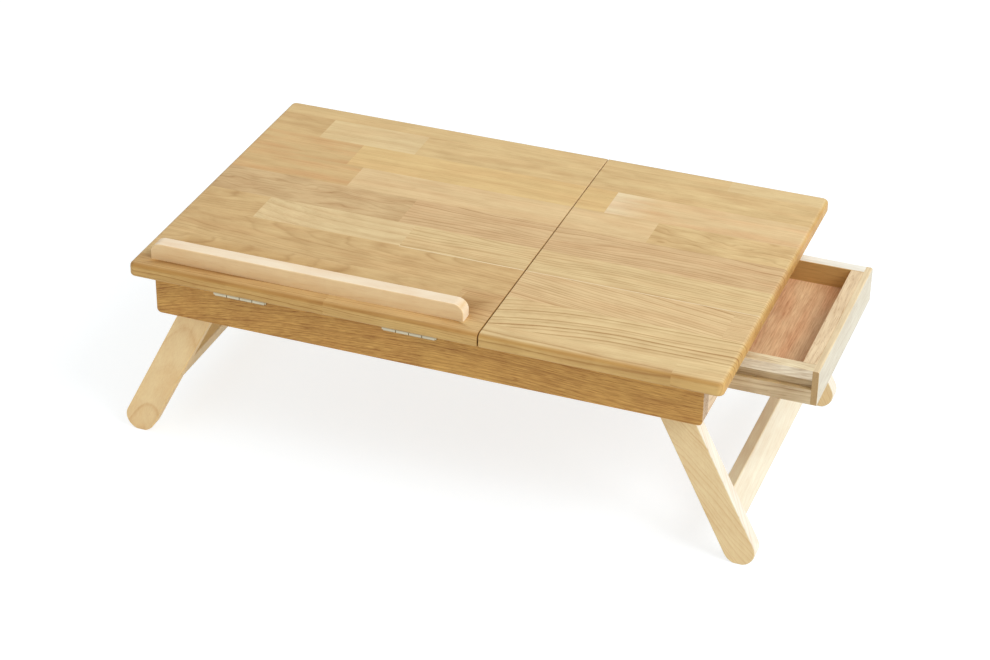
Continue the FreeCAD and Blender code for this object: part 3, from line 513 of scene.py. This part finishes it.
def cut_into_staves(mesh, staves):
    """Cuts the panel's surface along the joints of the staves, and where their first tone has faded."""
    for front_mm, _ in ROWS_MM[:-1]:
        slice_at(mesh, mesh.faces[:], 1, front_mm * MM)
    for stave in staves:
        left, right, front, back = stave["box"]
        for cut in (right, left + stave["fades"]):
            row = [face for face in mesh.faces if front < face.calc_center_median().y < back]
            slice_at(mesh, row, 0, cut)


def corner_tone(stave, place, top):
    """The tone of a stave at a place: some start with another at their left end, or have another edge."""
    left = stave["box"][0]
    share = min((place.x - left) / stave["fades"], 1)
    tone = Vector(stave["starts"]).lerp(Vector(stave["tone"]), max(share, 0))
    depth = min((top - place.z) / EDGE_DEPTH, 1)
    return tone.lerp(Vector(stave["edge"]), max(depth, 0))


def mark_staves(mesh, staves):
    """Writes on each face how its stave was sawn, and on each corner its tone."""
    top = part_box("tilting_top_panel")[1].z
    tones = mesh.loops.layers.float_color.new("tone")
    vectors = mesh.faces.layers.float_vector
    layers = {name: vectors.new(name) for name in ("pith", "lean", "rings", "mottle")}
    for face in mesh.faces:
        middle = face.calc_center_median()
        for stave in staves:
            left, right, front, back = stave["box"]
            if left < middle.x < right and front < middle.y < back:
                for name, layer in layers.items():
                    face[layer] = stave[name]
                for corner in face.loops:
                    corner[tones] = corner_tone(stave, corner.vert.co, top)
    return tones


def darken_seam(mesh, tones):
    """Paints shade on the sawn ends in the seam between the panels, brown at the front and fading towards
    the back.
    """
    low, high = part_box("tilting_top_panel")
    for face in mesh.faces:
        near = abs(face.calc_center_median().x - high.x) < SEAM_REACH
        if near and abs(face.normal.x) > ENDWISE:
            for corner in face.loops:
                share = (corner.vert.co.y - low.y) / (high.y - low.y)
                corner[tones] = Vector(linear(SEAM_SHADE)).lerp(Vector(linear(SEAM_SHADE_AT_BACK)), share)


def stave_panel(node, staves, material):
    """A top panel whose surface is divided into its staves, each with its own wood."""
    mesh = merged_copy(node)
    cut_into_staves(mesh, staves)
    tones = mark_staves(mesh, staves)
    darken_seam(mesh, tones)
    data = bpy.data.meshes.new(node.replace("panel", "staves"))
    mesh.to_mesh(data)
    mesh.free()
    data.shade_smooth()
    data.set_sharp_from_angle(angle=math.radians(SHARP_DEGREES))
    data.materials.append(material)
    panel = bpy.data.objects.new(data.name, data)
    bpy.context.scene.collection.objects.link(panel)
    return panel


# ---------------------------------------------------------------- metal and nylon

TARNISH = "#6E6659"
TARNISH_MM = (9.0, 9.0, 9.0)
# The levels of its clouds between which tarnish comes in, and how much of it shows at most
TARNISH_SPAN = (0.4, 0.75)
TARNISH_MOST = 0.2
# How much smoother and rougher than the whole the brushed streaks are
BRUSHED_SHEEN = (-0.08, 0.14)
NYLON_MILKY = "#EEEBDF"
NYLON_WAXY = "#DEDACB"
NYLON_CLOUD_MM = (6.0, 6.0, 6.0)
NYLON_SKIN_MM = (0.6, 0.6, 0.6)
NYLON_SHEEN = (0.38, 0.48)
# How deep the marks in a smooth skin are
SKIN_DEPTH = 0.1 * MM


def plated_steel(name, colour, roughness, brush_mm):
    """Plated sheet steel: bright, with the faint streaks of the strip that it was pressed from.

    The streaks are hundredths of a millimetre wide, too fine to show, so they are drawn ten times as wide.
    """
    material, tree = new_material(name)
    place = object_millimetres(tree)
    brushed = streaks(tree, place, brush_mm, Detail=2.0)
    tarnish = streaks(tree, place, TARNISH_MM, Detail=3.0)
    smooth, rough = BRUSHED_SHEEN
    polish = {"Value": brushed, "To Min": roughness + smooth, "To Max": roughness + rough}
    sheen = add(tree, "ShaderNodeMapRange", polish).outputs[0]
    low, high = TARNISH_SPAN
    dulled = {"Value": tarnish, "From Min": low, "From Max": high, "To Max": TARNISH_MOST}
    dull = add(tree, "ShaderNodeMapRange", dulled).outputs[0]
    shades = {FACTOR: dull, FIRST: linear(colour), SECOND: linear(TARNISH)}
    base = add(tree, "ShaderNodeMix", shades, data_type="RGBA").outputs[MIXED]
    scratch = {"Strength": 0.08, "Distance": SKIN_DEPTH, "Height": brushed}
    bump = add(tree, "ShaderNodeBump", scratch).outputs[0]
    surface = {"Base Color": base, "Metallic": 1.0, "Roughness": sheen, "Normal": bump}
    shader = add(tree, "ShaderNodeBsdfPrincipled", surface).outputs[0]
    add(tree, "ShaderNodeOutputMaterial", {"Surface": shader})
    return material


def natural_nylon():
    """Natural nylon, moulded: milky and slightly waxy."""
    material, tree = new_material("nylon_natural_moulded")
    place = object_millimetres(tree)
    cloud = streaks(tree, place, NYLON_CLOUD_MM, Detail=2.0)
    shades = {FACTOR: cloud, FIRST: linear(NYLON_MILKY), SECOND: linear(NYLON_WAXY)}
    base = add(tree, "ShaderNodeMix", shades, data_type="RGBA").outputs[MIXED]
    skin = streaks(tree, place, NYLON_SKIN_MM, Detail=2.0)
    grained = {"Strength": 0.06, "Distance": SKIN_DEPTH, "Height": skin}
    bump = add(tree, "ShaderNodeBump", grained).outputs[0]
    smooth, rough = NYLON_SHEEN
    sheen = add(tree, "ShaderNodeMapRange", {"Value": skin, "To Min": smooth, "To Max": rough}).outputs[0]
    surface = {"Base Color": base, "Roughness": sheen, "IOR": 1.53, "Normal": bump}
    shader = add(tree, "ShaderNodeBsdfPrincipled", surface).outputs[0]
    add(tree, "ShaderNodeOutputMaterial", {"Surface": shader})
    return material


# Nickel on the hinges: a soft, warm shine, brushed across their leaves
nickel = plated_steel("nickel_plated_steel", colour="#C8BEA4", roughness=0.3, brush_mm=(0.4, 6.0, 6.0))
# Zinc on the screws and on the prop's pin and brackets: cooler and a little duller
zinc = plated_steel("zinc_plated_steel", colour="#C4C5C4", roughness=0.34, brush_mm=(0.5, 0.5, 5.0))
nylon = natural_nylon()

# ---------------------------------------------------------------- boards of the frame and the ledge bar

APRON_TONE = "#F8E8CF"
# Oak sawn on the quarter, planed and oiled: brown, with short dark flecks that lie along the grain
APRON_LOOK = {
    "fibre_mm": (16.0, 3.0, 0.7),
    "fibre": 0.46,
    "band_mm": (120.0, 20.0, 7.0),
    "band": 0.09,
    "pore_mm": (9.0, 2.0, 0.8),
    "pores": 0.2,
    "stain": "#94662F",
    "face_axis": (0.0, 1.0, 0.0),
    "face": "#E3C27C",
    "sides": "#E8CB92",
    # Painted highlight: the end grain is tinted pale grey, as the end that faces the lamp looks
    "ends": "#E2DBCE",
}
front_apron_wood = board_wood(
    "oak_front_apron_oiled",
    OAK,
    tone=APRON_TONE,
    pith=(100.0, -170.0, 90.0),
    lean=(-0.00034, 0.0, -0.04),
    changes=APRON_LOOK,
    wobble=16.0,
    ring_mm=3.6,
    figure=0.5,
)
back_apron_wood = board_wood(
    "oak_back_apron_oiled",
    OAK,
    tone=APRON_TONE,
    pith=(60.0, 160.0, 110.0),
    lean=(0.0002, 0.0, -0.1),
    changes=APRON_LOOK,
    wobble=18.0,
    ring_mm=4.2,
    figure=0.45,
)
# Paler oak, planed and oiled: its end shows beside the apron's
end_rail_wood = board_wood(
    "oak_end_rail_oiled",
    OAK,
    tone="#F0DDBE",
    pith=(0.0, 0.0, 90.0),
    lean=(0.0, 0.02, 0.06),
    turn=ALONG_Y,
    changes={"face_axis": (1.0, 0.0, 0.0), "grain_axis": GRAIN_ALONG_Y, "sides": "#F0D9AC"},
)
BEECH_TONE = "#E0BC8F"
# Beech, planed and left bare: even pinkish tan, with short fine flecks in place of oak's long pores
BEECH_LOOK = {"pore_mm": (3.0, 0.8, 0.8)}
beech_wood = board_wood(
    "beech_planed",
    OAK,
    tone=BEECH_TONE,
    pith=(0.0, 60.0, 80.0),
    turn=ALONG_Y,
    changes=BEECH_LOOK,
)
beech_strip_wood = board_wood(
    "beech_strip_planed",
    OAK,
    tone=BEECH_TONE,
    pith=(0.0, 160.0, 80.0),
    changes=BEECH_LOOK,
)
# Maple, sanded and lacquered: cream and even, with hardly any figure and a soft shine
ledge_wood = board_wood(
    "maple_ledge_lacquered",
    BIRCH,
    tone="#FCEFD6",
    pith=(-100.0, -250.0, 190.0),
    changes={
        "face_axis": (0.0, 0.0, 1.0),
        "face": "#FFFFFF",
        "sides": "#F0E2C8",
        "pores": 0.08,
        "fibre": 0.08,
    },
    ring_mm=5.0,
    figure=0.08,
)

# ---------------------------------------------------------------- boards of the drawer

# Pale oak, sanded and left bare: dry greyish tan, streaked with brown, below a band of white sapwood
drawer_front_side_wood = board_wood(
    "pale_oak_drawer_front_side_sanded",
    OAK,
    tone="#DFD1B6",
    pith=(300.0, -60.0, 150.0),
    lean=(0.0, 0.01, 0.05),
    sapwood="#FFFCF2",
    sapwood_beyond=("Z", 197.0, 203.0),
    changes={
        "face": "#FFF6DA",
        "sides": "#FFFCF2",
        "stain": "#9C7850",
        "fibre": 0.28,
        "fibre_mm": (42.0, 1.4, 1.4),
    },
    wobble=24.0,
    figure=0.4,
    cloud=0.25,
    blush=0.1,
)
# The same oak in the other side: its face that looks into the drawer is painted tan as shade, and the rest
# is pale
drawer_rear_side_wood = board_wood(
    "pale_oak_drawer_rear_side_sanded",
    OAK,
    tone="#D4AC6C",
    pith=(300.0, 60.0, 150.0),
    lean=(0.0, 0.01, 0.05),
    sapwood="#FFFFF8",
    sapwood_beyond=("Y", 101.4, 102.4),
    changes={"sides": "#FFFFFF", "stain": "#B49A6C"},
    figure=0.2,
    cloud=0.1,
    blush=0.0,
)
# The same oak across the drawer, with open brown pores
drawer_board_wood = board_wood(
    "pale_oak_drawer_board_sanded",
    OAK,
    tone="#FAE5C0",
    pith=(0.0, -340.0, 180.0),
    turn=ALONG_Y,
    changes={
        "grain_axis": GRAIN_ALONG_Y,
        "fibre": 0.22,
        "pores": 0.28,
        "stain": "#9C7442",
        "sides": "#F4DCB2",
    },
    wobble=24.0,
    ring_mm=6.0,
    figure=0.25,
    blush=0.1,
)
# The palest of that oak: the face that looks out, toward the lamp, is tinted all but white and a little
# cool, a painted highlight
drawer_face_wood = board_wood(
    "pale_oak_drawer_face_sanded",
    OAK,
    tone="#F2E9D4",
    pith=(0.0, -420.0, 190.0),
    turn=ALONG_Y,
    changes={
        "grain_axis": GRAIN_ALONG_Y,
        "pores": 0.14,
        "stain": "#A88A5C",
        "face_axis": (1.0, 0.0, 0.0),
        "face": "#EDF2F8",
        "sides": "#FBF0DC",
        "ends": "#CBB491",
    },
    figure=0.12,
    cloud=0.1,
    blush=0.0,
)
# Okoume plywood, sanded: a reddish brown veneer with long fibres and fine dark pores
plywood = board_wood(
    "okoume_plywood_sanded",
    OAK,
    tone="#F5D3A5",
    pith=(0.0, -250.0, 60.0),
    turn=ALONG_Y,
    changes={
        "fibre": 0.34,
        "fibre_mm": (26.0, 1.3, 3.0),
        "band": 0.06,
        "pores": 0.2,
        "stain": "#A8683E",
    },
    figure=0.05,
    cloud=0.2,
    blush=0.8,
)

# ---------------------------------------------------------------- legs

LEG_TONE = "#FCF8EE"
SPLAY = 27.0
# The turns that bring a leg's length along x, where its middle line is 313.5 mm from that axis
LEFT_LEG = (0.0, -SPLAY - 90.0, 0.0)
RIGHT_LEG = (0.0, SPLAY - 90.0, 0.0)
LEG_LINE_MM = 313.5
# The left pair is tinted warm tan all round, most on its sides and ends: painted warm light, bounced into
# the shade under the stand
WARM_SHADE_TINTS = {"face": "#F7E4BB", "sides": "#FFE8AC", "ends": "#FFE8AC"}
# The right pair: its sides, which face the lamp, are tinted cool and all but white, a painted highlight,
# and its face a warm tan
LIT_SIDE_TINTS = {"face": "#EFDFB9", "sides": "#E6ECE6"}
# A stretcher's wide faces lean with the legs
STRETCHER = {
    "face_axis": (math.cos(math.radians(SPLAY)), 0.0, math.sin(math.radians(SPLAY))),
    "grain_axis": GRAIN_ALONG_Y,
    # Painted light: the narrow sides, which lie in shade, are tinted lighter than the wide faces
    "face": "#F3F4EA",
    "sides": "#FFFFEB",
}
# How the left legs, the right legs and the stretchers were sawn
FLAMED = {"cloud": 0.12, "wobble": 12.0, "curl": 2.0, "ring_mm": 10.0, "figure": 0.32}
STRAIGHT = {"cloud": 0.1, "wobble": 12.0, "curl": 2.0, "ring_mm": 2.8, "figure": 0.34, "blush": 0.0}
PLAIN = {"cloud": 0.1, "wobble": 16.0, "curl": 2.0, "ring_mm": 6.0, "figure": 0.1, "blush": 0.1}

# Each one's turn, the place of its pith, how its rings sweep and lean, its tints and how it was sawn
LEG_BOARDS = {
    "left_front_leg": (LEFT_LEG, (10, -120, 8 - LEG_LINE_MM), (0, -0.2, 0.03), WARM_SHADE_TINTS, FLAMED),
    "left_rear_leg": (LEFT_LEG, (60, 120, -8 - LEG_LINE_MM), (0, -0.16, 0.04), WARM_SHADE_TINTS, FLAMED),
    "right_front_leg": (RIGHT_LEG, (150, -110, LEG_LINE_MM - 60), (0.0004, -0.12, 0.14), LIT_SIDE_TINTS, STRAIGHT),
    "right_rear_leg": (RIGHT_LEG, (0, 110, LEG_LINE_MM + 50), (0, 0.1, 0.1), LIT_SIDE_TINTS, STRAIGHT),
    "left_stretcher": (ALONG_Y, (0, 300, 40), (0, 0.05, 0.02), {**STRETCHER, **WARM_SHADE_TINTS}, PLAIN),
    "right_stretcher": (ALONG_Y, (0, -380, 20), (0, 0.05, 0.02), STRETCHER, PLAIN),
}

# ---------------------------------------------------------------- every piece gets its finish

node_wood = {
    "front_apron": front_apron_wood,
    "back_apron": back_apron_wood,
    "left_end_rail": end_rail_wood,
    "right_end_rail": end_rail_wood,
    "rack_board": beech_wood,
    "prop_strut": beech_wood,
    "ledge_bar": ledge_wood,
    "drawer_front_side": drawer_front_side_wood,
    "drawer_rear_side": drawer_rear_side_wood,
    "drawer_inner_front": drawer_board_wood,
    "drawer_back": drawer_board_wood,
    "drawer_front_panel": drawer_face_wood,
    "drawer_floor": plywood,
    "drawer_stop": beech_wood,
    "drawer_front_guide": beech_strip_wood,
    "drawer_rear_guide": beech_strip_wood,
    "drawer_front_runner": beech_strip_wood,
    "drawer_rear_runner": beech_strip_wood,
}
for name, (turn, pith, lean, tints, cut) in LEG_BOARDS.items():
    node_wood[name] = board_wood(f"birch_{name}_lacquered", BIRCH, LEG_TONE, pith, lean, turn, tints, **cut)


def finish_of(node):
    """The material of a CAD node: its own wood, or else that of the fittings that it belongs to."""
    if node in node_wood:
        return node_wood[node]
    if "hinge" in node:
        return nickel
    if "dowel" in node:
        return beech_wood
    if "washer" in node:
        return nylon
    return zinc


top_wood = stave_wood()
staves = stave_list()
for panel, body in (("tilting_top_panel", "tilting_top"), ("fixed_top_panel", "frame")):
    piece = stave_panel(panel, staves, top_wood)
    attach(piece, body)
    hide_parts(panel)
for name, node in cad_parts.items():
    if "top_panel" not in name:
        node.data.materials.clear()
        node.data.materials.append(finish_of(name))

# ---------------------------------------------------------------- floor, light and camera

# How far the floor reaches each way
FLOOR_SIZE = 30.0
# What the eye sees of the floor, and how far its own glow lifts that to white where no shadow lies
FLOOR_SHOWN = "#A6AEB4"
FLOOR_LIFT = 0.73
# What the stand gets back from the floor
FLOOR_LIGHTING = "#F4F1E9"


def studio_floor():
    """A white floor that keeps the stand's shadow, and gives back to the stand the light of white paper."""
    mesh = bmesh.new()
    bmesh.ops.create_grid(mesh, x_segments=2, y_segments=2, size=FLOOR_SIZE)
    data = bpy.data.meshes.new("studio_floor")
    mesh.to_mesh(data)
    mesh.free()
    floor = bpy.data.objects.new("studio_floor", data)
    bpy.context.scene.collection.objects.link(floor)
    material, tree = new_material("white_paper_floor")
    path = add(tree, "ShaderNodeLightPath").outputs
    seen = path["Is Camera Ray"]
    for ray in ("Is Glossy Ray", "Is Transmission Ray"):
        seen = add(tree, "ShaderNodeMath", {0: seen, 1: path[ray]}, operation="MAXIMUM").outputs[0]
    tints = {FACTOR: seen, FIRST: linear(FLOOR_LIGHTING), SECOND: linear(FLOOR_SHOWN)}
    tint = add(tree, "ShaderNodeMix", tints, data_type="RGBA").outputs[MIXED]
    paper = add(tree, "ShaderNodeBsdfDiffuse", {"Color": tint}).outputs[0]
    lift = add(tree, "ShaderNodeMath", {0: seen, 1: FLOOR_LIFT}, operation="MULTIPLY").outputs[0]
    glow = add(tree, "ShaderNodeEmission", {"Strength": lift}).outputs[0]
    both = add(tree, "ShaderNodeAddShader", {0: paper, 1: glow}).outputs[0]
    add(tree, "ShaderNodeOutputMaterial", {"Surface": both})
    data.materials.append(material)


# The level of the fill from behind and from the front, its colour, and what shows behind the stand
FILL_BEHIND = 0.55
FILL_BEFORE = 0.75
FILL_COLOUR = "#FFFDF8"
BACKGROUND = "#FFFFFF"
# The soft box and the place that it points to
KEY_COLOUR = "#FBFDFF"
KEY_LEVEL = 0.62
KEY_PLACE = (4.2, -1.2, 4.3)
KEY_SIZE = 3.4
STAND_MIDDLE = (0.0, 0.0, 0.2)


def studio_light():
    """A large soft box from the right and above, and a fill from all round, stronger from the front."""
    studio = bpy.data.worlds.new("studio")
    bpy.context.scene.world = studio
    studio.use_nodes = True
    tree = studio.node_tree
    tree.nodes.clear()
    seen = add(tree, "ShaderNodeLightPath").outputs["Is Camera Ray"]
    toward = add(tree, "ShaderNodeTexCoord").outputs["Generated"]
    frontal = {0: toward, 1: (0.0, -1.0, 0.0)}
    front = add(tree, "ShaderNodeVectorMath", frontal, operation="DOT_PRODUCT").outputs["Value"]
    levels = {"Value": front, "From Min": -1.0, "To Min": FILL_BEHIND, "To Max": FILL_BEFORE}
    fill = add(tree, "ShaderNodeMapRange", levels).outputs[0]
    shown = {FACTOR: seen, FIRST_NUMBER: fill, SECOND_NUMBER: 1.0}
    level = add(tree, "ShaderNodeMix", shown).outputs[0]
    tints = {FACTOR: seen, FIRST: linear(FILL_COLOUR), SECOND: linear(BACKGROUND)}
    tint = add(tree, "ShaderNodeMix", tints, data_type="RGBA").outputs[MIXED]
    sky = add(tree, "ShaderNodeBackground", {"Color": tint, "Strength": level}).outputs[0]
    add(tree, "ShaderNodeOutputWorld", {"Surface": sky})
    beam = Vector(STAND_MIDDLE) - Vector(KEY_PLACE)
    lamp = bpy.data.lights.new("soft_box", "AREA")
    lamp.shape = "SQUARE"
    lamp.size = KEY_SIZE
    lamp.color = linear(KEY_COLOUR)[:3]
    # The power at which a white face turned to the lamp shows that level
    lamp.energy = KEY_LEVEL * math.pi**2 * beam.length_squared
    holder = bpy.data.objects.new("soft_box", lamp)
    holder.location = KEY_PLACE
    holder.rotation_euler = beam.to_track_quat("-Z", "Y").to_euler()
    bpy.context.scene.collection.objects.link(holder)


# Where the camera stands, and how far it turns left, looks down and tips over, in radians
CAMERA_PLACE = (0.84825, -2.29317, 1.57132)
CAMERA_YAW = 0.3505
CAMERA_PITCH = 0.5388
CAMERA_ROLL = 0.0161
CAMERA_LENS_MM = 93.92
SENSOR_MM = 36.0
# How far the camera sees
SIGHT_REACH = 100


def camera():
    """Looks down on the stand from its front right, with a long lens."""
    data = bpy.data.cameras.new("camera")
    data.lens = CAMERA_LENS_MM
    data.sensor_width = SENSOR_MM
    data.clip_end = SIGHT_REACH
    holder = bpy.data.objects.new("camera", data)
    turn = Matrix.Rotation(CAMERA_YAW, 4, "Z") @ Matrix.Rotation(math.pi / 2 - CAMERA_PITCH, 4, "X")
    holder.matrix_world = Matrix.Translation(CAMERA_PLACE) @ turn @ Matrix.Rotation(CAMERA_ROLL, 4, "Z")
    bpy.context.scene.collection.objects.link(holder)
    bpy.context.scene.camera = holder


studio_floor()
studio_light()
camera()
bpy.context.scene.view_settings.view_transform = "Standard"
